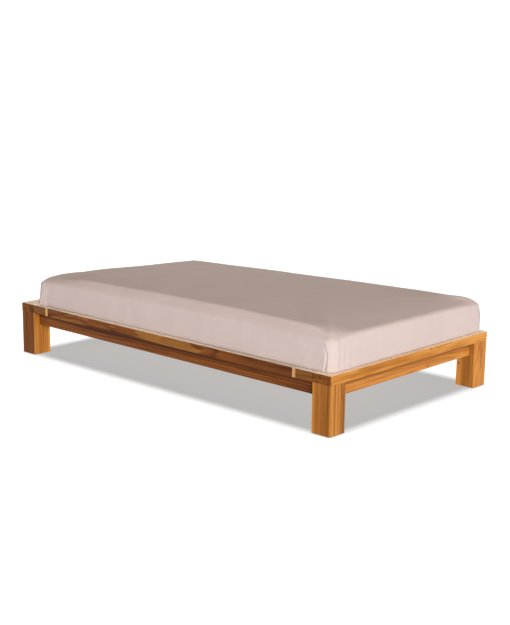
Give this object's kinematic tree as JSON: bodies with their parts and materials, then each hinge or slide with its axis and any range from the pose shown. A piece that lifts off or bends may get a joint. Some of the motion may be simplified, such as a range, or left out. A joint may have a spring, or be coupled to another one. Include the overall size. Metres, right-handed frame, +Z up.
{
  "type": "wooden bed frame",
  "caption": "Low wooden bed frame with square legs, flat top boards with pale keys, set-back aprons, slats and a mattress in a fitted sheet.",
  "frame": {"origin": "on the floor under the middle of the bed", "axes": "+X along the bed towards the foot end, +Y towards the left long side, +Z up"},
  "size_m": [1.96, 1.11, 0.4133],
  "materials": {
    "leg_wood": "satin varnish",
    "end_rail_wood": "satin varnish",
    "short_rail_wood": "satin varnish",
    "side_rail_wood": "satin varnish",
    "apron_wood": "satin varnish",
    "key_wood": "satin varnish",
    "slat_wood": "sanded",
    "frame_wood": "sanded",
    "dowel_wood": "sanded",
    "felt": "matt",
    "zinc_steel": "zinc plated",
    "screw_steel": "zinc plated",
    "brass": "plain",
    "mattress_ticking": "woven",
    "sheet_cotton": "plain woven cotton",
    "elastic": "woven"
  },
  "bodies": {
    "frame": {"apron_angle_screws": "screw_steel", "apron_angles": "zinc_steel", "beam_hanger_foot": "zinc_steel", "beam_hanger_head": "zinc_steel", "corner_bolts": "screw_steel", "corner_bracket_screws": "screw_steel", "corner_brackets": "zinc_steel", "end_rail_dowels": "dowel_wood", "foot_apron": "apron_wood", "foot_rail": "end_rail_wood", "foot_stud": "screw_steel", "hanger_screws": "screw_steel", "head_apron": "apron_wood", "head_rail": "end_rail_wood", "key_dowels": "dowel_wood", "key_foot_left": "key_wood", "key_foot_right": "key_wood", "key_head_left": "key_wood", "key_head_right": "key_wood", "ledger_screws": "screw_steel", "left_ledger": "frame_wood", "left_side_apron": "apron_wood", "left_side_rail": "side_rail_wood", "leg_dowels": "dowel_wood", "leg_foot_left": "leg_wood", "leg_foot_right": "leg_wood", "leg_glides": "felt", "leg_head_left": "leg_wood", "leg_head_right": "leg_wood", "middle_beam": "frame_wood", "middle_foot": "frame_wood", "middle_glide": "felt", "right_ledger": "frame_wood", "right_side_apron": "apron_wood", "right_side_rail": "side_rail_wood", "short_rail_foot_left": "short_rail_wood", "short_rail_foot_right": "short_rail_wood", "short_rail_head_left": "short_rail_wood", "short_rail_head_right": "short_rail_wood", "slat_01": "slat_wood", "slat_02": "slat_wood", "slat_03": "slat_wood", "slat_04": "slat_wood", "slat_05": "slat_wood", "slat_06": "slat_wood", "slat_07": "slat_wood", "slat_08": "slat_wood", "slat_09": "slat_wood", "slat_10": "slat_wood", "slat_11": "slat_wood", "slat_12": "slat_wood", "slat_13": "slat_wood", "slat_screws": "screw_steel", "threaded_inserts": "brass"},
    "mattress": {"mattress": "mattress_ticking", "fitted_sheet": "sheet_cotton", "hem_elastic": "elastic"}
  },
  "joints": [
    {"name": "mattress_lift", "type": "slide", "parent": "frame", "child": "mattress", "axis": [0, 0, 1], "range_m": [0, 0.4]}
  ]
}
